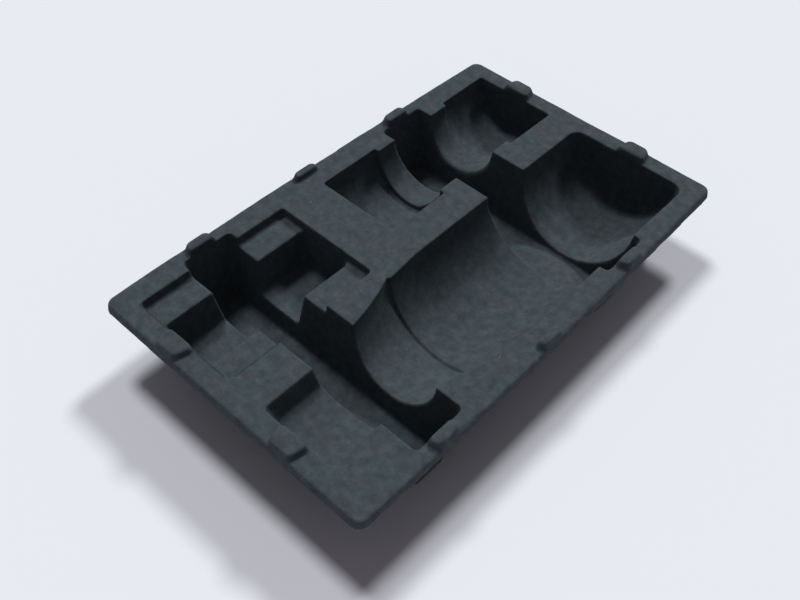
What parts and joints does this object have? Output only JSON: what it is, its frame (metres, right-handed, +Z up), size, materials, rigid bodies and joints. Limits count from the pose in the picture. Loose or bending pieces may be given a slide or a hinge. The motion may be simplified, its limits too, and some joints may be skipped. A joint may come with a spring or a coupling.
{
  "type": "pulp bottle shipper insert",
  "caption": "Moulded pulp tray that cradles round goods lying down in a shipping carton, with cross channels for the fingers and low stacking lugs on its rim.",
  "frame": {"origin": "on the ground under the middle of the tray", "axes": "+Z up, +Y along the tray towards the heels of its pockets, +X across it to the right"},
  "size_m": [0.2134, 0.3406, 0.0545],
  "materials": {
    "pulp": "matt fibrous dark grey moulded pulp"
  },
  "bodies": {
    "root": {"pulp_tray": "pulp"}
  },
  "joints": []
}
